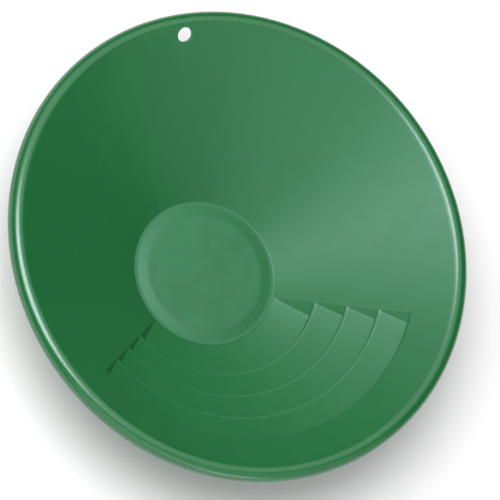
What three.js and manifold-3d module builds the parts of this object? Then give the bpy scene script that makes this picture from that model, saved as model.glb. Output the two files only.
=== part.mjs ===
// A plastic gold pan, moulded as one thin shell, in millimetres, +Z up.
//
// The origin is the centre of the underside, so the pan rests on z = 0. The riffles, four
// steps moulded into a third of the sloping wall, are centred on +Y, and the hanging hole
// goes through the wall on the opposite side, at -Y.

import * as THREE from 'three';
import { mergeVertices } from 'three/addons/utils/BufferGeometryUtils.js';
import Module from 'manifold-3d';

// ---------------------------------------------------------------- driving dimensions

const RIM_RADIUS = 178;           // outside of the rolled rim, for a 14 inch pan
const ROLL_RADIUS = 7.1;          // outside radius of the rolled rim's section
const SKIRT_DROP = 2.4;           // how far the rim's lip hangs below the middle of the roll
const WALL_THICKNESS = 2.5;       // the same all over the shell
const WALL_ANGLE = 36.6;          // degrees, slope of the wall above the ground

const FOOT_RADIUS = 56.3;         // where the inside of the wall comes out of its corner
const FOOT_STEP = 0.8;            // height of that point above the groove round the bottom
const GROOVE_RADIUS = 52.6;       // inner edge of the groove round the bottom
const PLATEAU_RADIUS = 44.6;      // edge of the raised middle of the bottom
const PLATEAU_RISE = 1.1;         // height of the raised middle above the groove
const BOTTOM_FILLETS = [25, 3, 1.2]; // at the plateau's edge, the groove and the foot of the wall

const FIRST_RISER = 82.3;         // radius of the innermost riser's crest
const RISER_PITCH = 20.1;         // radial distance from one riser to the next
const RISER_COUNT = 4;
const RISER_OVERHANG = 1.2;       // how far a riser's root lies outside its crest
const CREST_DROP = 0.15;          // depth of the inner crests below the wall's surface
const LAND_WIDTH = 2;             // flatter strip beyond each inner crest
const LAND_ANGLE = 18;            // degrees, slope of that strip
const FIRST_TREAD_ANGLE = 26;     // degrees, slope of the innermost tread
const TREAD_ANGLE = 28;           // degrees, slope of the other treads
const TREAD_LEAD = 1;             // the first tread's cut starts this far inside its foot
const ROOT_FILLET = 0.8;
const CREST_FILLET = 0.4;
const LAND_FILLET = 0.8;
const RIFFLE_HALF_ANGLE = 60.2;   // degrees to each side of +Y
const END_FACE_MINUS_X = 31;      // degrees, slope of the riffles' end face at the -X end
const END_FACE_PLUS_X = 45;       // degrees, slope of the steeper end face at the +X end

const HOLE_DIAMETER = 11.4;       // hanging hole, square to the wall
const HOLE_DISTANCE = 161.4;      // from the pan's axis to the hole, on the inside of the wall

const LATHE_STEPS = 76;           // facets round the pan
const FILLET_STEPS = 2;           // facets in each fillet
const ROLL_STEPS = 6;             // facets in each side of the rolled rim
const LIP_STEPS = 3;              // facets round the rim's lip
const HOLE_STEPS = 24;            // facets round the hanging hole

const SMALLEST_FILLET = 0.4;
const WELD_DISTANCE = 1e-4;       // points nearer than this are one vertex
const POCKET_LIFT = 0.3;          // how far the riffles' cutter stands above the wall
const CUTTER_REACH = 260;         // larger than any distance inside the pan

const PLASTIC_COLOUR = '#2f7d4f';
const PLASTIC_ROUGHNESS = 0.42;

// ---------------------------------------------------------------- derived dimensions

const wallAngle = THREE.MathUtils.degToRad(WALL_ANGLE);
const firstTreadSlope = Math.tan(THREE.MathUtils.degToRad(FIRST_TREAD_ANGLE));
const treadSlope = Math.tan(THREE.MathUtils.degToRad(TREAD_ANGLE));
const landSlope = Math.tan(THREE.MathUtils.degToRad(LAND_ANGLE));
const grooveHeight = WALL_THICKNESS;
const footHeight = grooveHeight + FOOT_STEP;
const wallHeight = (radius) => footHeight + (radius - FOOT_RADIUS) * Math.tan(wallAngle);

const rollRadius = RIM_RADIUS - ROLL_RADIUS;
const rollHeight = wallHeight(rollRadius) - ROLL_RADIUS / Math.cos(wallAngle);
const rollTangent = Math.PI / 2 + wallAngle;

// ---------------------------------------------------------------- profile curves

const point = (radius, height) => new THREE.Vector2(radius, height);
const turnedLeft = (direction) => point(-direction.y, direction.x);
const directionOf = (from, to) => to.clone().sub(from).normalize();

// Points on a circle in the profile plane, from one angle to another, both ends included.
function arc(centre, radius, fromAngle, toAngle, steps) {
  const points = [];
  for (let i = 0; i <= steps; i += 1) {
    const angle = fromAngle + (toAngle - fromAngle) * i / steps;
    points.push(point(centre.x + radius * Math.cos(angle), centre.y + radius * Math.sin(angle)));
  }
  return points;
}

// The polyline moved sideways to its right by a distance, with its corners kept sharp.
function offsetRight(corners, distance) {
  const directions = corners.slice(1).map((corner, i) => directionOf(corners[i], corner));
  return corners.map((corner, i) => {
    const arriving = turnedLeft(directions[Math.max(i - 1, 0)]);
    const leaving = turnedLeft(directions[Math.min(i, directions.length - 1)]);
    const across = arriving.clone().add(leaving).normalize();
    return corner.clone().addScaledVector(across, -distance / across.dot(arriving));
  });
}

// The polyline with an arc at each inner corner. Arcs that turn left grow by the thickening and
// arcs that turn right shrink by it, which keeps the two sides of the shell parallel.
function rounded(corners, fillets, thickening) {
  const points = [corners[0]];
  for (let i = 1; i < corners.length - 1; i += 1) {
    const arriving = directionOf(corners[i - 1], corners[i]);
    const leaving = directionOf(corners[i], corners[i + 1]);
    const side = Math.sign(turnedLeft(arriving).dot(leaving));
    const radius = Math.max(SMALLEST_FILLET, fillets[i - 1] + side * thickening);
    const turn = arriving.angleTo(leaving);
    const start = corners[i].clone().addScaledVector(arriving, -radius * Math.tan(turn / 2));
    const centre = start.clone().addScaledVector(turnedLeft(arriving), side * radius);
    const first = start.clone().sub(centre).angle();
    points.push(...arc(centre, radius, first, first + side * turn, FILLET_STEPS));
  }
  points.push(corners[corners.length - 1]);
  return points;
}

// ---------------------------------------------------------------- solids

let manifold;

async function loadManifold() {
  manifold = await Module();
  manifold.setup();
}

// A closed three.js geometry as a solid that can be joined and cut.
function solidFrom(geometry) {
  const bare = geometry.clone();
  bare.deleteAttribute('normal');
  bare.deleteAttribute('uv');
  const merged = mergeVertices(bare, WELD_DISTANCE);
  return new manifold.Manifold(new manifold.Mesh({
    numProp: 3,
    vertProperties: new Float32Array(merged.attributes.position.array),
    triVerts: new Uint32Array(merged.index.array),
  }));
}

// A solid as a three.js geometry.
function geometryFrom(solid) {
  const mesh = solid.getMesh();
  const geometry = new THREE.BufferGeometry();
  geometry.setAttribute('position', new THREE.BufferAttribute(new Float32Array(mesh.vertProperties), 3));
  geometry.setIndex(new THREE.BufferAttribute(new Uint32Array(mesh.triVerts), 1));
  geometry.computeVertexNormals();
  return geometry;
}

// A profile of (radius, height) points turned round the vertical axis.
function turned(profile) {
  const geometry = new THREE.LatheGeometry(profile, LATHE_STEPS);
  geometry.rotateX(Math.PI / 2);
  return solidFrom(geometry);
}

// ---------------------------------------------------------------- the plain shell

// Inside of the bowl, from the middle of the bottom outwards and up the wall to the rim.
function insideCorners() {
  return [
    point(0, grooveHeight + PLATEAU_RISE),
    point(PLATEAU_RADIUS, grooveHeight + PLATEAU_RISE),
    point(GROOVE_RADIUS, grooveHeight),
    point(FOOT_RADIUS - FOOT_STEP / Math.tan(wallAngle), grooveHeight),
    arc(point(rollRadius, rollHeight), ROLL_RADIUS, rollTangent, 0, 1)[0],
  ];
}

// Rolled rim: over the roll, down to the lip, round its end and back underneath.
function rimProfile() {
  const lipRadius = WALL_THICKNESS / 2;
  const rollCentre = point(rollRadius, rollHeight);
  const lipCentre = point(RIM_RADIUS - lipRadius, rollHeight - SKIRT_DROP + lipRadius);
  return [
    ...arc(rollCentre, ROLL_RADIUS, rollTangent, 0, 2 * ROLL_STEPS),
    ...arc(lipCentre, lipRadius, 0, -Math.PI, LIP_STEPS),
    ...arc(rollCentre, ROLL_RADIUS - WALL_THICKNESS, 0, rollTangent, ROLL_STEPS),
  ];
}

// The same thickness everywhere: the outside follows the inside at the wall's thickness.
function plainShell() {
  const corners = insideCorners();
  const inside = rounded(corners, BOTTOM_FILLETS, 0);
  const outside = rounded(offsetRight(corners, WALL_THICKNESS), BOTTOM_FILLETS, WALL_THICKNESS);
  const profile = [...inside.slice(0, -1), ...rimProfile(), ...outside.reverse().slice(1)];
  return turned(profile.reverse());
}

// ---------------------------------------------------------------- the riffles

// A point at a distance from the axis on a line of a given slope through another point.
const onSlope = (start, slope, radius) => point(radius, start.y + (radius - start.x) * slope);

// Profile through the riffles, with the fillet of each corner after the first. Each tread runs
// out under the wall's surface to a root, and a riser that overhangs the root comes back up to
// a crest. A narrow land leads from the crest to the next tread, unless the tread is carried on
// to the riser. The first tread starts just above the wall, and the last riser ends on it.
function riffleProfile(withLands) {
  const foot = point(FOOT_RADIUS, footHeight);
  const corners = [onSlope(foot, firstTreadSlope, FOOT_RADIUS - TREAD_LEAD)];
  const fillets = [];
  for (let i = 0; i < RISER_COUNT; i += 1) {
    const riser = FIRST_RISER + i * RISER_PITCH;
    const slope = i === 0 ? firstTreadSlope : treadSlope;
    const crest = point(riser, wallHeight(riser) - CREST_DROP);
    const landEnd = onSlope(crest, landSlope, riser + LAND_WIDTH);
    corners.push(onSlope(corners[corners.length - 1], slope, riser + RISER_OVERHANG));
    fillets.push(ROOT_FILLET);
    if (i === RISER_COUNT - 1) {
      corners.push(point(riser, wallHeight(riser)));
    } else if (withLands) {
      corners.push(crest, landEnd);
      fillets.push(CREST_FILLET, LAND_FILLET);
    } else {
      corners.push(onSlope(landEnd, treadSlope, riser));
      fillets.push(CREST_FILLET);
    }
  }
  return { corners, fillets };
}

// A saw-toothed ring between the riffles' profile and a smooth cap parallel to the wall. The
// last riser is carried on to the cap.
function sawtoothRing(corners, fillets, thickening, capLift) {
  const onCap = (corner) => point(corner.x, wallHeight(corner.x) + capLift);
  const first = corners[0];
  const last = corners[corners.length - 1];
  const teeth = rounded([...corners.slice(0, -1), onCap(last)], fillets, thickening);
  return turned([...teeth, onCap(first), first.clone()]);
}

// A large block whose one face is an end plane of the riffles. The plane holds the line that
// runs up the wall at the end of the riffles, and leans so that deeper points lie nearer +Y.
function endBlock(side, outwardOffset) {
  const azimuth = Math.PI / 2 - side * THREE.MathUtils.degToRad(RIFFLE_HALF_ANGLE);
  const lean = THREE.MathUtils.degToRad(side > 0 ? END_FACE_PLUS_X : END_FACE_MINUS_X);
  const apex = new THREE.Vector3(0, 0, wallHeight(0));
  const alongWall = new THREE.Vector3(
    Math.cos(azimuth) * Math.cos(wallAngle), Math.sin(azimuth) * Math.cos(wallAngle), Math.sin(wallAngle),
  );
  const towardsMiddle = new THREE.Vector3(-side * Math.sin(azimuth), side * Math.cos(azimuth), 0);
  const downFace = towardsMiddle.clone().multiplyScalar(Math.cos(lean)).setZ(-Math.sin(lean));
  const inward = new THREE.Vector3().crossVectors(alongWall, downFace).multiplyScalar(side).normalize();
  const across = new THREE.Vector3().crossVectors(inward, alongWall);

  const block = cuttingBlock();
  block.translate(0, 0, CUTTER_REACH - outwardOffset);
  block.applyMatrix4(new THREE.Matrix4().makeBasis(alongWall, across, inward).setPosition(apex));
  return solidFrom(block);
}

// The half of space in front of the pan's axis, because the two end planes cross behind it.
function frontBlock() {
  const block = cuttingBlock();
  block.translate(0, CUTTER_REACH, 0);
  return solidFrom(block);
}

function cuttingBlock() {
  const size = 2 * CUTTER_REACH;
  return new THREE.BoxGeometry(size, size, size);
}

function betweenEndPlanes(ring, outwardOffset) {
  return ring.intersect(frontBlock())
    .intersect(endBlock(1, outwardOffset))
    .intersect(endBlock(-1, outwardOffset));
}

// The plastic under the treads, which follows them at the wall's thickness.
function riffleBacking() {
  const { corners, fillets } = riffleProfile(false);
  const underside = offsetRight(corners, WALL_THICKNESS);
  const ring = sawtoothRing(underside, fillets, WALL_THICKNESS, -WALL_THICKNESS);
  return betweenEndPlanes(ring, WALL_THICKNESS);
}

// The space above the treads.
function rifflePocket() {
  const { corners, fillets } = riffleProfile(true);
  return betweenEndPlanes(sawtoothRing(corners, fillets, 0, POCKET_LIFT), 0);
}

// ---------------------------------------------------------------- the hanging hole

function hangingHole() {
  const radius = HOLE_DIAMETER / 2;
  const drill = new THREE.CylinderGeometry(radius, radius, 4 * WALL_THICKNESS, HOLE_STEPS);
  drill.rotateX(Math.PI / 2 - wallAngle);
  drill.translate(0, -HOLE_DISTANCE, wallHeight(HOLE_DISTANCE));
  return solidFrom(drill);
}

// ---------------------------------------------------------------- assembly

function panShell() {
  const solid = plainShell().add(riffleBacking()).subtract(rifflePocket()).subtract(hangingHole());
  const material = new THREE.MeshStandardMaterial({
    color: PLASTIC_COLOUR, roughness: PLASTIC_ROUGHNESS, metalness: 0,
  });
  const mesh = new THREE.Mesh(geometryFrom(solid), material);
  mesh.name = 'pan_shell';
  return mesh;
}

await loadManifold();

const goldPan = new THREE.Group();
goldPan.add(panShell());

export default goldPan;
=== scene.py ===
"""A green plastic gold pan: one thin moulded shell with riffles in a third of its wall."""

import math

import bmesh
import bpy
import numpy as np
from mathutils import Matrix, Vector


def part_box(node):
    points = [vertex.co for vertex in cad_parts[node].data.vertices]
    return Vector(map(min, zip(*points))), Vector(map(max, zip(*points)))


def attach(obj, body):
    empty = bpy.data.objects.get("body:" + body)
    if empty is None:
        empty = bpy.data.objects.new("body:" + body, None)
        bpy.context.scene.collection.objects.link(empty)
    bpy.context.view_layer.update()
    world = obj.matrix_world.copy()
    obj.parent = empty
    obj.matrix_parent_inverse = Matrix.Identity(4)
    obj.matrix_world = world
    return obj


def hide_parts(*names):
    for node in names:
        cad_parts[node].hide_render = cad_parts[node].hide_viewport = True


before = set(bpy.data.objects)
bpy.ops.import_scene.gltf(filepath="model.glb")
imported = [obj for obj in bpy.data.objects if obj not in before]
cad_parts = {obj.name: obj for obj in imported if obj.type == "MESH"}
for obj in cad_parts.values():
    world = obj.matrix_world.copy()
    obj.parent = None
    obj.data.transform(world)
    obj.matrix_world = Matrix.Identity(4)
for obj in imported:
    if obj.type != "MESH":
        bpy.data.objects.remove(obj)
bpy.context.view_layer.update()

# ---------------------------------------------------------------- dimensions, in millimetres

MM = 0.001
low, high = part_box("pan_shell")
RIM_RADIUS = 0.5 * (high.x - low.x) / MM

WALL_THICKNESS = 2.5
WALL_ANGLE = math.radians(36.6)
ROLL_RADIUS = 7.1              # outside radius of the rolled rim's section
SKIRT_DROP = 2.4               # how far the rim's lip hangs below the middle of the roll

FOOT_RADIUS = 56.3             # where the inside of the wall comes out of its corner
FOOT_STEP = 0.8                # height of that point above the groove round the bottom
FOOT_FILLET = 1.2
GROOVE_RADIUS = 52.6           # inner edge of the groove round the bottom
PLATEAU_RADIUS = 44.6          # edge of the raised middle of the bottom
PLATEAU_RISE = 1.1
PLATEAU_FILLET = 25.0
GROOVE_FILLET = 3.0

FIRST_RISER = 82.3             # radius of the innermost riser's crest
RISER_PITCH = 20.1
RISER_COUNT = 4
RISER_OVERHANG = 1.2           # how far a riser's root lies outside its crest
CREST_DROP = 0.15              # depth of the inner crests below the wall's surface
LAND_WIDTH = 2.0               # flatter strip beyond each inner crest
LAND_ANGLE = math.radians(18)
FIRST_TREAD_ANGLE = math.radians(26)
TREAD_ANGLE = math.radians(28)
ROOT_FILLET = 0.8
CREST_FILLET = 0.4
LAND_FILLET = 0.8
RIFFLE_HALF_ANGLE = 60.2       # degrees to each side of +Y
END_SLOPE_MINUS_X = math.tan(math.radians(31))     # of the riffles' end faces
END_SLOPE_PLUS_X = math.tan(math.radians(45))

HOLE_RADIUS = 5.7
HOLE_DISTANCE = 161.4          # from the pan's axis to the hole, on the inside of the wall
HOLE_EDGE = 0.45               # rounding of the hole's two edges
HOLE_AZIMUTH = 180.0           # degrees from +Y, so the hole is at -Y

wall_slope = math.tan(WALL_ANGLE)
groove_z = WALL_THICKNESS
foot_z = groove_z + FOOT_STEP
roll_r = RIM_RADIUS - ROLL_RADIUS
roll_z = foot_z + ((roll_r - FOOT_RADIUS) * math.sin(WALL_ANGLE) - ROLL_RADIUS) / math.cos(WALL_ANGLE)
roll_tangent = math.pi / 2 + WALL_ANGLE


def wall_z(radius):
    """Height of the inside of the plain wall at a distance from the axis."""
    return foot_z + (radius - FOOT_RADIUS) * wall_slope


# ---------------------------------------------------------------- profile curves

def turned_left(direction):
    return np.array([-direction[1], direction[0]])


def unit(vector):
    return vector / np.linalg.norm(vector)


def arc(centre, radius, start, end, steps):
    """Points on a circle in the profile plane, from one angle to another."""
    angles = np.linspace(start, end, steps + 1)
    return np.stack([centre[0] + radius * np.cos(angles), centre[1] + radius * np.sin(angles)], 1)


def offset_right(corners, distance):
    """The polyline moved sideways to its right by a distance, with its corners kept sharp."""
    corners = [np.array(c, float) for c in corners]
    directions = [unit(b - a) for a, b in zip(corners, corners[1:])]
    moved = [corners[0] - turned_left(directions[0]) * distance]
    for corner, arriving, leaving in zip(corners[1:], directions, directions[1:]):
        bisector = unit(turned_left(arriving) + turned_left(leaving))
        moved.append(corner - bisector * distance / (bisector @ turned_left(arriving)))
    moved.append(corners[-1] - turned_left(directions[-1]) * distance)
    return moved


def rounded(corners, fillets, thickening=0.0, smallest=0.4, steps=6):
    """The polyline with an arc at each inner corner.

    thickening is added to the arcs that turn left and taken from those that turn right, which
    keeps a shell's two sides parallel.
    """
    corners = [np.array(c, float) for c in corners]
    points = [corners[0]]
    for before, corner, after, fillet in zip(corners, corners[1:], corners[2:], fillets):
        arriving, leaving = unit(corner - before), unit(after - corner)
        side = math.copysign(1.0, turned_left(arriving) @ leaving)
        radius = max(smallest, fillet + side * thickening)
        turn = math.acos(np.clip(arriving @ leaving, -1, 1))
        start = corner - arriving * radius * math.tan(turn / 2)
        centre = start + side * radius * turned_left(arriving)
        first = math.atan2(*(start - centre)[::-1])
        points.extend(arc(centre, radius, first, first + side * turn, steps))
    points.append(corners[-1])
    return np.array(points)


def refined(points, spacing):
    """The polyline with its long stretches divided into steps no longer than the spacing."""
    out = [points[0]]
    for a, b in zip(points, points[1:]):
        pieces = max(1, math.ceil(np.linalg.norm(b - a) / spacing))
        out.extend(a + (b - a) * k / pieces for k in range(1, pieces + 1))
    return np.array(out)


def bottom_corners():
    corner_radius = FOOT_RADIUS - FOOT_STEP / wall_slope
    corners = [(0, groove_z + PLATEAU_RISE), (PLATEAU_RADIUS, groove_z + PLATEAU_RISE)]
    corners += [(GROOVE_RADIUS, groove_z), (corner_radius, groove_z)]
    return corners, [PLATEAU_FILLET, GROOVE_FILLET, FOOT_FILLET]


def wall_end():
    """Where the inside of the wall runs into the roll of the rim."""
    return roll_r + ROLL_RADIUS * math.cos(roll_tangent), roll_z + ROLL_RADIUS * math.sin(roll_tangent)


def plain_corners():
    corners, fillets = bottom_corners()
    return corners + [wall_end()], fillets


def on_slope(start, angle, radius):
    """The point at a radius on the line through another point that slopes at an angle."""
    return radius, start[1] + (radius - start[0]) * math.tan(angle)


def riffled_corners(with_lands):
    """The profile through the riffles.

    Each tread runs out under the wall's surface to a root, and a riser that overhangs the root
    comes back up to a crest. A narrow land leads from the crest to the next tread, unless the
    tread is carried on to the riser. The last riser ends on the wall.
    """
    corners, fillets = bottom_corners()
    corners.append((FOOT_RADIUS, foot_z))
    fillets.append(CREST_FILLET)
    for i in range(RISER_COUNT):
        riser = FIRST_RISER + i * RISER_PITCH
        angle = FIRST_TREAD_ANGLE if i == 0 else TREAD_ANGLE
        corners.append(on_slope(corners[-1], angle, riser + RISER_OVERHANG))
        fillets.append(ROOT_FILLET)
        crest = (riser, wall_z(riser) - CREST_DROP)
        land_end = on_slope(crest, LAND_ANGLE, riser + LAND_WIDTH)
        if i == RISER_COUNT - 1:
            corners.append((riser, wall_z(riser)))
            fillets.append(CREST_FILLET)
        elif with_lands:
            corners += [crest, land_end]
            fillets += [CREST_FILLET, LAND_FILLET]
        else:
            corners.append(on_slope(land_end, TREAD_ANGLE, riser))
            fillets.append(CREST_FILLET)
    corners.append(wall_end())
    return corners, fillets


# ---------------------------------------------------------------- the shell's surface

LINE_SPACING = 1.0             # between the mesh's lines round the axis
LEAN = 0.45                    # the riffles sink outwards by this much for each unit down
RAMP_EASE = 0.15               # depth over which the end faces' upper edges are rounded
RAMP_CRISPNESS = 32            # higher makes a smaller fillet between end face and tread
END_FACE_SPAN = math.pi / 4    # how far outside the riffles their end faces are worked out
GATE_RADIUS = 2.8              # moulding gate's mark in the middle of the underside
GATE_DROP = 0.4
GATE_TAPER = 0.3
END_BAND = 7.0                 # degrees of fine mesh inside each end of the riffles,
END_MARGIN = 1.4               # outside each end of the riffles
HOLE_BAND = 6.0                # and on each side of the hole
ROLL_STEPS = 28                # mesh steps over the rim's roll, round its lip and back under it
LIP_STEPS = 8
UNDER_ROLL_STEPS = 20


def smaller_depth(a, b):
    """The smaller of two depths, with a small fillet where they are equal."""
    smaller = np.minimum(a, b)
    larger = np.maximum(np.maximum(a, b), 1e-9)
    return smaller * (1 + (smaller / larger) ** RAMP_CRISPNESS) ** (-1 / RAMP_CRISPNESS)


def above_zero(depth):
    """The depth where it is positive and zero elsewhere, with the corner between rounded."""
    return np.maximum(depth, 0) + np.maximum(RAMP_EASE - np.abs(depth), 0) ** 2 / (4 * RAMP_EASE)


def with_gate_mark(corners, fillets):
    """Adds the small round mark that the moulding gate leaves in the middle of the underside."""
    middle_z = corners[0][1]
    mark = [(0, middle_z - GATE_DROP), (GATE_RADIUS, middle_z - GATE_DROP)]
    mark.append((GATE_RADIUS + GATE_TAPER, middle_z))
    return mark + corners[1:], [0.0, 0.0] + fillets


def skin_lines(outside):
    """Lines round one side of the bowl, from the middle to the rim.

    Each line has its radius and height on the plain wall, and the depth to which the riffles
    sink it. The outside is the inside moved by the wall's thickness. The height in the very
    middle, where the lines begin, is returned as well.
    """
    plain, plain_fillets = plain_corners()
    riffled, riffled_fillets = riffled_corners(with_lands=not outside)
    thickening = 0.0
    if outside:
        thickening = WALL_THICKNESS
        plain = offset_right(plain, WALL_THICKNESS)
        riffled = offset_right(riffled, WALL_THICKNESS)
        plain, plain_fillets = with_gate_mark(plain, plain_fillets)
        riffled, riffled_fillets = with_gate_mark(riffled, riffled_fillets)
    plain_line = rounded(plain, plain_fillets, thickening)
    riffled_line = refined(rounded(riffled, riffled_fillets, thickening), LINE_SPACING)
    radius, height = riffled_line[1:, 0], riffled_line[1:, 1]
    below_wall = np.maximum(np.interp(radius, *plain_line.T) - height, 0)
    radius = radius - LEAN * below_wall / (1 + LEAN * wall_slope)
    wall = np.interp(radius, *plain_line.T)
    return np.stack([radius, wall, np.maximum(wall - height, 0)], 1), riffled_line[0, 1]


def rim_lines():
    """Lines over the roll of the rim, round its lip and back under it, in that order.

    The roll's two ends, where it meets the wall, are left out.
    """
    lip = WALL_THICKNESS / 2
    lip_centre = (RIM_RADIUS - lip, roll_z - SKIRT_DROP + lip)
    over = arc((roll_r, roll_z), ROLL_RADIUS, roll_tangent, 0, ROLL_STEPS)[1:]
    end = arc(lip_centre, lip, 0, -math.pi, LIP_STEPS)
    inner_radius = ROLL_RADIUS - WALL_THICKNESS
    under = arc((roll_r, roll_z), inner_radius, 0, roll_tangent, UNDER_ROLL_STEPS)[:-1]
    line = np.concatenate([over, end, under])
    return np.column_stack([line, np.zeros(len(line))])


def azimuth_lines():
    """Azimuths from +Y round to +Y again, close together at the riffles' ends and the hole."""
    end_begins, end_stops = RIFFLE_HALF_ANGLE - END_BAND, RIFFLE_HALF_ANGLE + END_MARGIN
    hole_begins = HOLE_AZIMUTH - HOLE_BAND
    stretches = [               # from, to, and the number of steps between them
        (0, end_begins, 27),
        (end_begins, end_stops, 42),
        (end_stops, hole_begins, 56),
        (hole_begins, HOLE_AZIMUTH, 12),
    ]
    half = np.concatenate([
        np.linspace(start, end, steps, endpoint=False) for start, end, steps in stretches
    ])
    return np.radians(np.concatenate([half, [HOLE_AZIMUTH], 360 - half[:0:-1]]))


def riffle_depths(lines, azimuths, on_outside):
    """How far the riffles sink every line at every azimuth.

    That is the depth of the riffled profile, or of the plane of the end face where that is less.
    """
    radius, depth = lines[:, 0, None], lines[:, 2, None]
    turned = (azimuths + math.pi) % (2 * math.pi) - math.pi
    end_slope = np.where(turned > 0, END_SLOPE_PLUS_X, END_SLOPE_MINUS_X)
    leaning = np.sqrt(1 + wall_slope ** 2 + end_slope ** 2) - math.hypot(1, wall_slope)
    from_end = np.maximum(math.radians(RIFFLE_HALF_ANGLE) - np.abs(turned), -END_FACE_SPAN)
    drop = wall_slope * (1 - np.cos(from_end)) + end_slope * np.sin(from_end)
    end_face = radius * drop + WALL_THICKNESS * leaning * on_outside[:, None]
    return smaller_depth(depth, above_zero(end_face / (1 + LEAN * (wall_slope - drop))))


def around_axis(radius, height, azimuth):
    """Points at a distance from the axis, azimuths measured from +Y towards +X."""
    x, y, z = np.broadcast_arrays(radius * np.sin(azimuth), radius * np.cos(azimuth), height)
    return np.stack([x, y, z], -1)


# ---------------------------------------------------------------- the shell's mesh

PATCH_HALF = 8                 # the hole's patch reaches this many mesh steps to each side
PATCH_RINGS = 6
EDGE_STEPS = 4
LOW_CORNER = -135              # direction of a patch's first corner from the hole, in degrees


class MeshParts:
    """Points and faces of a mesh while it is put together."""

    def __init__(self):
        self.blocks = []
        self.count = 0
        self.faces = []

    def add_points(self, points):
        """Adds an array of points and returns their indices in the same arrangement."""
        indices = np.arange(self.count, self.count + points[..., 0].size)
        self.blocks.append(points.reshape(-1, 3))
        self.count += len(indices)
        return indices.reshape(points.shape[:-1])

    def add_faces(self, faces):
        self.faces.extend(faces.reshape(-1, faces.shape[-1]).tolist())

    def join_rings(self, one, other):
        """Joins two closed rings of points with quads."""
        self.add_faces(np.stack([one, other, np.roll(other, -1), np.roll(one, -1)], -1))

    def cap(self, ring, middle):
        """Closes a ring with triangles to a middle point."""
        tip = self.add_points(np.array([middle], float))
        self.add_faces(np.stack([ring, np.roll(ring, -1), np.full_like(ring, tip[0])], -1))

    def to_object(self, name):
        mesh = bpy.data.meshes.new(name)
        mesh.from_pydata((np.concatenate(self.blocks) * MM).tolist(), [], self.faces)
        facing = bmesh.new()
        facing.from_mesh(mesh)
        bmesh.ops.recalc_face_normals(facing, faces=facing.faces)
        facing.to_mesh(mesh)
        facing.free()
        mesh.polygons.foreach_set("use_smooth", np.ones(len(mesh.polygons), bool))
        obj = bpy.data.objects.new(name, mesh)
        bpy.context.scene.collection.objects.link(obj)
        return obj


def rows_beside(lines, rows, radius):
    """The rows of the mesh beside a radius, in order of growing radius."""
    middle = rows[np.argmin(np.abs(lines[rows, 0] - radius))]
    picked = np.arange(middle - PATCH_HALF, middle + PATCH_HALF + 1)
    return picked if lines[picked[0], 0] < lines[picked[-1], 0] else picked[::-1]


def patch_border(grid, rows, columns):
    """The mesh points round a patch as a closed ring that starts at its low corner."""
    return np.concatenate([
        grid[rows[0], columns[:-1]],
        grid[rows[:-1], columns[-1]],
        grid[rows[-1], columns[:0:-1]],
        grid[rows[:0:-1], columns[0]],
    ])


def edge_of_hole(parts, lines, grid, rows, columns, azimuths, middle_radius, into_wall):
    """Fills one side's patch with rings that run from its border to the hole's rounded edge.

    Returns the last ring, which lies on the hole's wall. into_wall is the direction from this
    side into the plastic, as (outwards, upwards).
    """
    hole = math.radians(HOLE_AZIMUTH)
    path = lines[rows, :2]
    along = np.concatenate([[0], np.cumsum(np.hypot(*np.diff(path, axis=0).T))])
    along -= np.interp(middle_radius, path[:, 0], along)

    def on_surface(flat, sunk=0.0):
        radius = np.interp(flat[:, 1], along, path[:, 0])
        height = np.interp(flat[:, 1], along, path[:, 1])
        points = around_axis(radius, height, hole + flat[:, 0] / radius)
        return points + sunk * around_axis(into_wall[0], into_wall[1], hole)

    cells = np.zeros((len(rows), len(columns), 2))
    cells[..., 0] = path[:, 0, None] * (azimuths[columns] - hole)
    cells[..., 1] = along[:, None]
    ring_rows, ring_columns = np.arange(len(rows)), np.arange(len(columns))
    border_flat = patch_border(cells, ring_rows, ring_columns)
    border = patch_border(grid, rows, columns)
    turns = np.radians(LOW_CORNER + 360 * np.arange(len(border)) / len(border))
    circle = np.stack([np.cos(turns), np.sin(turns)], 1)

    ring = border
    for step in range(1, PATCH_RINGS + 1):
        share = step / PATCH_RINGS
        flat = border_flat * (1 - share) + circle * (HOLE_RADIUS + HOLE_EDGE) * share
        inner = parts.add_points(on_surface(flat))
        parts.join_rings(ring, inner)
        ring = inner
    for step in range(1, EDGE_STEPS + 1):
        angle = math.pi / 2 * step / EDGE_STEPS
        flat = circle * (HOLE_RADIUS + HOLE_EDGE * (1 - math.sin(angle)))
        inner = parts.add_points(on_surface(flat, HOLE_EDGE * (1 - math.cos(angle))))
        parts.join_rings(ring, inner)
        ring = inner
    return ring


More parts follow.
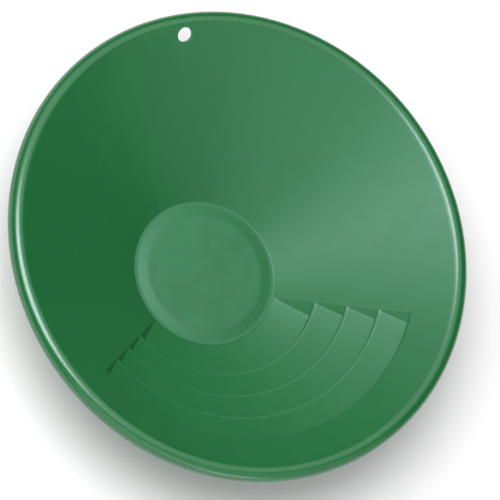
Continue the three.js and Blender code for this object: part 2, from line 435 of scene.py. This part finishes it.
def build_shell():
    inside, inside_middle = skin_lines(outside=False)
    outside, outside_middle = skin_lines(outside=True)
    inside, outside = inside[:-1], outside[:-1]     # no lines where the wall meets the roll
    rim = rim_lines()
    lines = np.concatenate([inside, rim, outside[::-1]])
    azimuths = azimuth_lines()

    on_outside = np.arange(len(lines)) >= len(lines) - len(outside)
    sunk = riffle_depths(lines, azimuths, on_outside)

    parts = MeshParts()
    grid = parts.add_points(around_axis(lines[:, :1] + LEAN * sunk, lines[:, 1:2] - sunk, azimuths))
    keep = np.ones((len(lines) - 1, len(azimuths)), bool)

    middle = int(np.argmin(np.abs(azimuths - math.radians(HOLE_AZIMUTH))))
    columns = np.arange(middle - PATCH_HALF, middle + PATCH_HALF + 1)
    out, up = math.sin(WALL_ANGLE), -math.cos(WALL_ANGLE)
    inside_rows = rows_beside(lines, np.arange(len(inside)), HOLE_DISTANCE)
    outside_radius = HOLE_DISTANCE + WALL_THICKNESS * out
    outside_rows = rows_beside(lines, np.arange(len(lines) - len(outside), len(lines)), outside_radius)
    for rows in (inside_rows, outside_rows):
        keep[rows.min():rows.max(), columns[0]:columns[-1]] = False
    near = edge_of_hole(parts, lines, grid, inside_rows, columns, azimuths, HOLE_DISTANCE, (out, up))
    far = edge_of_hole(parts, lines, grid, outside_rows, columns, azimuths, outside_radius, (-out, -up))
    parts.join_rings(near, far)

    following = np.roll(grid, -1, axis=1)
    quads = np.stack([grid[:-1], grid[1:], following[1:], following[:-1]], -1)
    parts.add_faces(quads[keep])
    parts.cap(grid[0], (0, 0, inside_middle))
    parts.cap(grid[-1], (0, 0, outside_middle))
    return parts.to_object("gold_pan_shell")


# ---------------------------------------------------------------- material

PLASTIC_GREEN = (0.0100, 0.124, 0.0305)
EDGE_HIGHLIGHT_GREEN = (0.040, 0.240, 0.100)     # painted highlight: the riffles' convex edges made paler where they catch the light
EDGE_HIGHLIGHT_FROM, EDGE_HIGHLIGHT_FULLY = 0.52, 0.60     # pointiness at which edges start and end getting paler with the painted highlight
EDGE_HIGHLIGHT_SHARE = 0.6
PLASTIC_IOR = 1.5
SHEEN_LEVEL = 1.0
SHEEN_TINT = (0.58, 0.82, 0.83)        # of the bowl's grained surface
RIM_SHEEN_TINT = (0.74, 0.84, 0.88)    # of the smooth rim
BOWL_ROUGHNESS = 0.46
RIM_ROUGHNESS = 0.24                   # the rim is moulded smoother than the bowl

GRAIN_SIZE = 0.7                       # sizes, radii and depths are in millimetres
GRAIN_DEPTH = 0.02
RIM_GRAIN = 0.15                       # share of the grain that is left on the rim
SCUFF_SIZE = 3.0
SCUFF_HEIGHT = 0.6                     # compared with the grain
SCUFF_FROM, SCUFF_FULLY = 0.4, 0.75    # the noise between and over scuffs
SCUFF_ROUGHNESS = (-0.015, 0.03)       # changes to the roughness between and over scuffs
MOTTLE_SIZE = 11.0                     # patches on the raised bottom
CLOUD_SIZE = 70.0
FLOW_LINES_PER_RADIAN = 26.0
FLOW_CHANGES_PER_METRE = 12.0          # along the flow lines
CLOUD_SHADE, FLOW_SHADE, MOTTLE_SHADE = 0.03, 0.025, 0.07     # how far each changes the green
MOTTLE_ROUGHNESS = 0.02                # how far it changes the roughness
MOTTLE_EDGE = PLATEAU_RADIUS + 1       # the mottling fades between these two radii
MOTTLE_FULL = PLATEAU_RADIUS - 4
RIM_LOOK_START = HOLE_DISTANCE + 2     # radius where the bowl's surface starts to turn smooth
EDGE_HIGHLIGHT_FADE_START, EDGE_HIGHLIGHT_FADE_END = 0.25, 0.35      # cosines of the azimuths where the painted edge highlight fades out


def shader_node(tree, kind, inputs=None, **properties):
    """Adds a shader node. inputs gives its inputs' values, or the sockets that feed them."""
    added = tree.nodes.new(kind)
    for name, value in properties.items():
        setattr(added, name, value)
    for key, value in (inputs or {}).items():
        if isinstance(value, bpy.types.NodeSocket):
            tree.links.new(value, added.inputs[key])
        else:
            added.inputs[key].default_value = value
    return added


def calculate(tree, operation, *values):
    """The result of an operation on numbers or sockets."""
    return shader_node(tree, "ShaderNodeMath", dict(enumerate(values)), operation=operation).outputs[0]


def mapped(tree, value, start, end, low, high):
    """Low where the value is at start, high where it is at end, and smooth between them."""
    inputs = {"Value": value, "From Min": start, "From Max": end, "To Min": low, "To Max": high}
    kind = "ShaderNodeMapRange"
    return shader_node(tree, kind, inputs, interpolation_type="SMOOTHSTEP").outputs["Result"]


def around_zero(tree, value, amount, half_range=0.2):
    """A noise's value turned into a change between minus and plus the amount.

    The whole amount is reached where the noise is half_range away from 0.5.
    """
    return mapped(tree, value, 0.5 - half_range, 0.5 + half_range, -amount, amount)


def calculate_vector(tree, operation, inputs):
    """The result of an operation on vectors, which are values or sockets."""
    return shader_node(tree, "ShaderNodeVectorMath", inputs, operation=operation).outputs[0]


def noise(tree, place, size, detail=2.0):
    """Noise between 0 and 1 whose patches are about a size in millimetres across."""
    inputs = {"Vector": place, "Scale": 1 / (size * MM), "Detail": detail}
    return shader_node(tree, "ShaderNodeTexNoise", inputs).outputs["Fac"]


def blended(tree, share, one, other):
    """A colour that goes from one to the other as the share goes from 0 to 1."""
    mix = shader_node(tree, "ShaderNodeMix", {"Factor": share}, data_type="RGBA")
    for socket, colour in ((mix.inputs[6], one), (mix.inputs[7], other)):
        if isinstance(colour, bpy.types.NodeSocket):
            tree.links.new(colour, socket)
        else:
            socket.default_value = (*colour, 1)
    return mix.outputs[2]


def flow_lines(tree, outward, radius):
    """Faint streaks that fan out from the middle, as the plastic flowed into the mould."""
    length = shader_node(tree, "ShaderNodeCombineXYZ", {"Z": radius}).outputs[0]
    direction = calculate_vector(tree, "NORMALIZE", {0: outward})
    around = calculate_vector(tree, "SCALE", {0: direction, "Scale": FLOW_LINES_PER_RADIAN})
    along = calculate_vector(tree, "SCALE", {0: length, "Scale": FLOW_CHANGES_PER_METRE})
    place = calculate_vector(tree, "ADD", {0: around, 1: along})
    inputs = {"Vector": place, "Scale": 1.0, "Detail": 3.0}
    return shader_node(tree, "ShaderNodeTexNoise", inputs).outputs["Fac"]


def at_riffles(tree, outward):
    """1 in the part of the wall that holds the riffles and 0 elsewhere.

    Pointiness is wrong in a few spots of the plain wall where the mesh's lines lie very close
    together, so it is only used here.
    """
    direction = calculate_vector(tree, "NORMALIZE", {0: outward})
    towards_y = shader_node(tree, "ShaderNodeSeparateXYZ", {"Vector": direction}).outputs["Y"]
    return mapped(tree, towards_y, EDGE_HIGHLIGHT_FADE_START, EDGE_HIGHLIGHT_FADE_END, 0, 1)


def plastic_colour(tree, cloud, flow, patches, edge_highlight):
    """The green with its clouds, flow lines and mottling, and with paler edges painted as highlights.
    """
    shade = calculate(tree, "ADD", around_zero(tree, cloud, CLOUD_SHADE), 1.0)
    shade = calculate(tree, "ADD", around_zero(tree, flow, FLOW_SHADE, half_range=0.25), shade)
    shade = calculate(tree, "ADD", patches, shade)
    green = blended(tree, edge_highlight, PLASTIC_GREEN, EDGE_HIGHLIGHT_GREEN)
    return calculate_vector(tree, "SCALE", {0: green, "Scale": shade})


def plastic_roughness(tree, on_rim, mottle, scuff):
    """Rougher in the bowl than on the rim, and uneven with the mottling and the scuffs."""
    scuffing = mapped(tree, scuff, SCUFF_FROM, SCUFF_FULLY, *SCUFF_ROUGHNESS)
    roughness = mapped(tree, on_rim, 0, 1, BOWL_ROUGHNESS, RIM_ROUGHNESS)
    roughness = calculate(tree, "ADD", roughness, around_zero(tree, mottle, MOTTLE_ROUGHNESS))
    return calculate(tree, "ADD", roughness, scuffing)


def plastic_grain(tree, on_rim, grain, scuff):
    """The surface's direction, made uneven by the moulded grain and the scuffs."""
    height = calculate(tree, "ADD", grain, calculate(tree, "MULTIPLY", scuff, SCUFF_HEIGHT))
    strength = mapped(tree, on_rim, 0, 1, 1.0, RIM_GRAIN)
    inputs = {"Height": height, "Distance": GRAIN_DEPTH * MM, "Strength": strength}
    return shader_node(tree, "ShaderNodeBump", inputs).outputs["Normal"]


def pan_plastic():
    material = bpy.data.materials.new("moulded_green_plastic")
    material.use_nodes = True
    tree = material.node_tree
    place = shader_node(tree, "ShaderNodeTexCoord").outputs["Object"]
    outward = calculate_vector(tree, "MULTIPLY", {0: place, 1: (1, 1, 0)})
    from_axis = shader_node(tree, "ShaderNodeVectorMath", {0: outward}, operation="LENGTH")
    radius = from_axis.outputs["Value"]
    on_bottom = mapped(tree, radius, MOTTLE_EDGE * MM, MOTTLE_FULL * MM, 0, 1)
    on_rim = mapped(tree, radius, RIM_LOOK_START * MM, roll_r * MM, 0, 1)

    grain = noise(tree, place, GRAIN_SIZE)
    mottle = noise(tree, place, MOTTLE_SIZE, detail=3.0)
    cloud = noise(tree, place, CLOUD_SIZE)
    scuff = noise(tree, place, SCUFF_SIZE, detail=4.0)
    flow = flow_lines(tree, outward, radius)
    patches = calculate(tree, "MULTIPLY", around_zero(tree, mottle, MOTTLE_SHADE), on_bottom)
    # painted highlight: paler green on the riffles' convex edges, where they catch the light
    pointed = shader_node(tree, "ShaderNodeNewGeometry").outputs["Pointiness"]
    edge_highlight = mapped(tree, pointed, EDGE_HIGHLIGHT_FROM, EDGE_HIGHLIGHT_FULLY, 0, EDGE_HIGHLIGHT_SHARE)
    edge_highlight = calculate(tree, "MULTIPLY", edge_highlight, at_riffles(tree, outward))

    surface = tree.nodes["Principled BSDF"]
    surface.inputs["IOR"].default_value = PLASTIC_IOR
    surface.inputs["Specular IOR Level"].default_value = SHEEN_LEVEL
    looks = {
        "Base Color": plastic_colour(tree, cloud, flow, patches, edge_highlight),
        "Specular Tint": blended(tree, on_rim, SHEEN_TINT, RIM_SHEEN_TINT),
        "Roughness": plastic_roughness(tree, on_rim, mottle, scuff),
        "Normal": plastic_grain(tree, on_rim, grain, scuff),
    }
    for name, look in looks.items():
        tree.links.new(look, surface.inputs[name])
    return material


# ---------------------------------------------------------------- stage, lights, camera

CAMERA_DISTANCE = 3.19         # metres from the point looked at
CAMERA_AZIMUTH = 24.9          # degrees from +X towards +Y
CAMERA_ELEVATION = 62.9
CAMERA_ROLL = 52.16            # degrees by which the pan's axis leans to the right in the picture
CAMERA_LENS = 311.9
CLIP_DISTANCE = 20.0
LOOKED_AT = (-0.0222, -0.0022, 0.043)

LIGHT_DISTANCE = 3.0
FLOOR_REACH = 4.0
FLOOR_SHADE = 0.7
FLOOR_ROUGHNESS = 0.9
FLOOR_GLOW = 0.12
ROOM_SEEN = 1.0                # the room's brightness where the camera sees it
ROOM_LIGHT = 0.02              # and as a source of light


def add_camera():
    azimuth, elevation = math.radians(CAMERA_AZIMUTH), math.radians(CAMERA_ELEVATION)
    toward = Vector((
        math.cos(elevation) * math.cos(azimuth),
        math.cos(elevation) * math.sin(azimuth),
        math.sin(elevation),
    ))
    data = bpy.data.cameras.new("photo_camera")
    data.lens = CAMERA_LENS
    data.clip_end = CLIP_DISTANCE
    camera = bpy.data.objects.new("photo_camera", data)
    turn = toward.to_track_quat("Z", "Y").to_matrix().to_4x4()
    roll = Matrix.Rotation(math.radians(CAMERA_ROLL), 4, "Z")
    place = Matrix.Translation(Vector(LOOKED_AT) + toward * CAMERA_DISTANCE)
    camera.matrix_world = place @ turn @ roll
    bpy.context.scene.collection.objects.link(camera)
    bpy.context.scene.camera = camera


def add_floor():
    reach = FLOOR_REACH
    corners = [(-reach, -reach, 0), (reach, -reach, 0), (reach, reach, 0), (-reach, reach, 0)]
    mesh = bpy.data.meshes.new("floor")
    mesh.from_pydata(corners, [], [(0, 1, 2, 3)])
    material = bpy.data.materials.new("floor_white")
    material.use_nodes = True
    surface = material.node_tree.nodes["Principled BSDF"]
    surface.inputs["Base Color"].default_value = (FLOOR_SHADE, FLOOR_SHADE, FLOOR_SHADE, 1)
    surface.inputs["Roughness"].default_value = FLOOR_ROUGHNESS
    surface.inputs["Specular IOR Level"].default_value = 0.0
    surface.inputs["Emission Color"].default_value = (1, 1, 1, 1)
    surface.inputs["Emission Strength"].default_value = FLOOR_GLOW
    mesh.materials.append(material)
    floor = bpy.data.objects.new("floor", mesh)
    bpy.context.scene.collection.objects.link(floor)


def soft_light(name, direction, strength, spread):
    """A round studio light that faces the pan.

    strength is the light that reaches a surface facing it, in watts per square metre, and
    spread is the angle that the light fills as seen from the pan, in degrees.
    """
    toward = Vector(direction).normalized()
    half_angle = math.radians(spread) / 2
    data = bpy.data.lights.new(name, "AREA")
    data.shape = "DISK"
    data.size = 2 * LIGHT_DISTANCE * math.tan(half_angle)
    data.energy = strength * math.pi * (LIGHT_DISTANCE / math.cos(half_angle)) ** 2
    light = bpy.data.objects.new(name, data)
    turn = toward.to_track_quat("Z", "Y").to_matrix().to_4x4()
    light.matrix_world = Matrix.Translation(Vector(LOOKED_AT) + toward * LIGHT_DISTANCE) @ turn
    bpy.context.scene.collection.objects.link(light)


def add_world():
    """A white room: bright where the camera sees it, dim as a source of light."""
    world = bpy.data.worlds.new("studio")
    world.use_nodes = True
    tree = world.node_tree
    seen = shader_node(tree, "ShaderNodeLightPath").outputs["Is Camera Ray"]
    strength = mapped(tree, seen, 0, 1, ROOM_LIGHT, ROOM_SEEN)
    tree.links.new(strength, tree.nodes["Background"].inputs["Strength"])
    tree.nodes["Background"].inputs["Color"].default_value = (1, 1, 1, 1)
    bpy.context.scene.world = world


def add_lights():
    add_world()
    soft_light("softbox", (0.36, -0.17, 0.92), strength=2.75, spread=38)
    soft_light("overhead", (0.07, -0.31, 0.95), strength=1.4, spread=80)
    soft_light("key", (0.64, -0.14, 0.75), strength=0.08, spread=24)
    soft_light("side_fill", (0.58, 0.72, 0.39), strength=0.55, spread=50)
    soft_light("front_fill", (-0.22, 0.87, 0.45), strength=0.65, spread=72)
    soft_light("low_front", (0.04, 0.99, 0.17), strength=0.3, spread=24)


# ---------------------------------------------------------------- scene

pan = build_shell()
pan.data.materials.append(pan_plastic())
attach(pan, "root")
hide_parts("pan_shell")

add_camera()
add_floor()
add_lights()
bpy.context.scene.view_settings.view_transform = "Standard"
